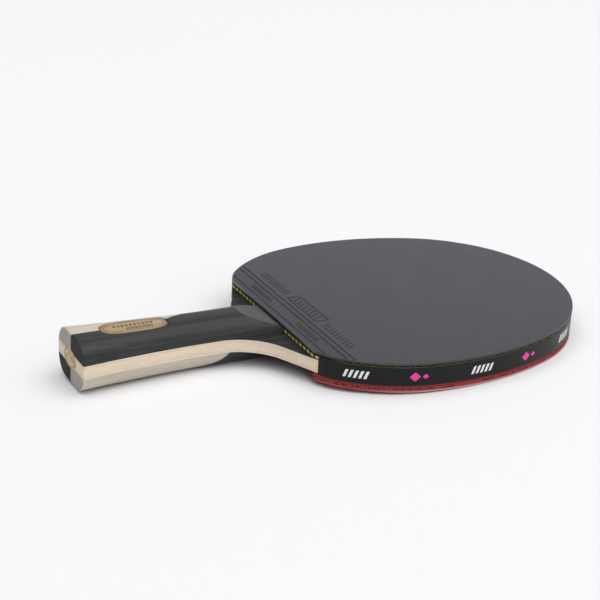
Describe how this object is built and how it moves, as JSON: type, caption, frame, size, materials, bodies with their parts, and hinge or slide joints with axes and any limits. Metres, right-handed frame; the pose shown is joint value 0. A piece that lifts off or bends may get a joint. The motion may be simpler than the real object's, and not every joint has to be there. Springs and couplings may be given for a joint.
{
  "type": "table tennis paddle",
  "caption": "Table tennis paddle with a plywood blade, a black rubber on one face and a red one on the other, edge tape and a flared two-tone wooden handle with an inlaid badge.",
  "frame": {"origin": "middle of the paddle's length, width and thickness", "axes": "+X runs along the handle towards the tip of the head, +Z is the outward normal of the front (black) rubber, and +Y lies across the head"},
  "size_m": [0.2568, 0.1504, 0.0236],
  "materials": {
    "core_wood": "sanded edge grain",
    "inner_wood": "sanded edge grain",
    "outer_wood": "sanded edge grain",
    "dark_wood": "stained, satin lacquer",
    "light_wood": "satin lacquer",
    "badge_wood": "fine open grain",
    "badge_gold": "satin",
    "glue": "dried film",
    "yellow_sponge": "fine open foam",
    "red_sponge": "fine open foam",
    "black_rubber": "satin, slightly tacky",
    "red_rubber": "satin, slightly tacky",
    "tape": "satin tape"
  },
  "bodies": {
    "root": {"core_ply": "core_wood", "front_inner_ply": "inner_wood", "back_inner_ply": "inner_wood", "front_outer_ply": "outer_wood", "back_outer_ply": "outer_wood", "front_dark_scale": "dark_wood", "front_light_scale": "light_wood", "back_dark_scale": "dark_wood", "back_light_scale": "light_wood", "handle_lens": "badge_wood", "butt_badge": "badge_gold", "front_glue_film": "glue", "front_sponge": "yellow_sponge", "front_topsheet": "black_rubber", "back_glue_film": "glue", "back_sponge": "red_sponge", "back_topsheet": "red_rubber", "edge_tape": "tape"}
  },
  "joints": []
}
